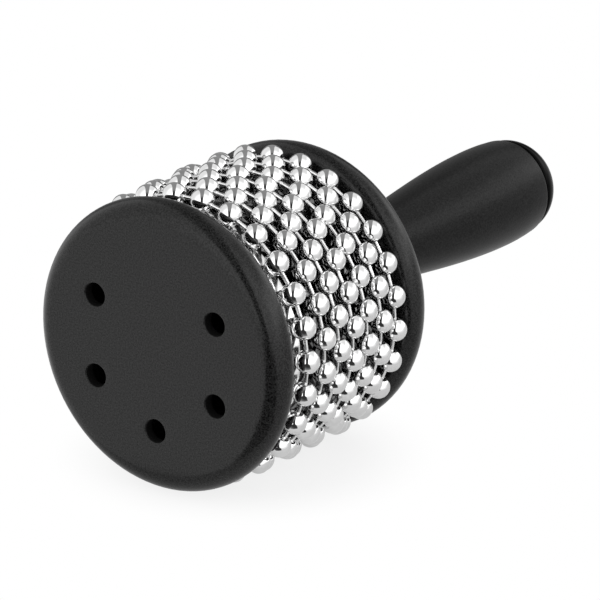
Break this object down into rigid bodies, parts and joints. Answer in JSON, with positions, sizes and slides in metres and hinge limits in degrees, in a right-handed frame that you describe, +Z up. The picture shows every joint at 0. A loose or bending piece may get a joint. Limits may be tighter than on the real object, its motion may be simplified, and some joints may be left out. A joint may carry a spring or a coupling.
{
  "type": "cabasa",
  "caption": "Hand-held cabasa: loops of steel bead chain turn freely around a textured steel drum between two black discs, on a swelling handle.",
  "frame": {"origin": "centre of the front disc's flat face, on the instrument's axis", "axes": "+Y along the axis from the front disc to the handle's end, +Z up through the bare place among the vents, as the instrument lies in the picture"},
  "size_m": [0.0844, 0.1814, 0.0844],
  "materials": {
    "black_moulding": "fine-grained satin",
    "black_grip": "matte",
    "gloss_black": "gloss",
    "textured_steel": "embossed, bright",
    "bead_chrome": "mirror",
    "link_chrome": "mirror",
    "bolt_steel": "zinc plated",
    "insert_brass": "machined"
  },
  "bodies": {
    "drum": {"front_disc": "black_moulding", "rear_disc": "black_moulding", "drum_core": "black_moulding", "textured_sleeve": "textured_steel", "handle": "black_grip", "handle_end_cap": "gloss_black", "tie_bolt": "bolt_steel", "bolt_washer": "bolt_steel", "threaded_insert": "insert_brass"},
    "chain_1": {"chain_1_balls": "bead_chrome", "chain_1_links": "link_chrome"},
    "chain_2": {"chain_2_balls": "bead_chrome", "chain_2_links": "link_chrome"},
    "chain_3": {"chain_3_balls": "bead_chrome", "chain_3_links": "link_chrome"},
    "chain_4": {"chain_4_balls": "bead_chrome", "chain_4_links": "link_chrome"},
    "chain_5": {"chain_5_balls": "bead_chrome", "chain_5_links": "link_chrome"},
    "chain_6": {"chain_6_balls": "bead_chrome", "chain_6_links": "link_chrome"},
    "chain_7": {"chain_7_balls": "bead_chrome", "chain_7_links": "link_chrome"}
  },
  "joints": [
    {"name": "chain_1_spin", "type": "hinge", "parent": "drum", "child": "chain_1", "pos_m": [0, 0.01615, 0], "axis": [0, 1, 0], "continuous": true},
    {"name": "chain_2_spin", "type": "hinge", "parent": "drum", "child": "chain_2", "pos_m": [0, 0.02389, 0], "axis": [0, 1, 0], "continuous": true},
    {"name": "chain_3_spin", "type": "hinge", "parent": "drum", "child": "chain_3", "pos_m": [0, 0.03043, 0], "axis": [0, 1, 0], "continuous": true},
    {"name": "chain_4_spin", "type": "hinge", "parent": "drum", "child": "chain_4", "pos_m": [0, 0.03697, 0], "axis": [0, 1, 0], "continuous": true},
    {"name": "chain_5_spin", "type": "hinge", "parent": "drum", "child": "chain_5", "pos_m": [0, 0.04351, 0], "axis": [0, 1, 0], "continuous": true},
    {"name": "chain_6_spin", "type": "hinge", "parent": "drum", "child": "chain_6", "pos_m": [0, 0.05005, 0], "axis": [0, 1, 0], "continuous": true},
    {"name": "chain_7_spin", "type": "hinge", "parent": "drum", "child": "chain_7", "pos_m": [0, 0.05659, 0], "axis": [0, 1, 0], "continuous": true}
  ]
}
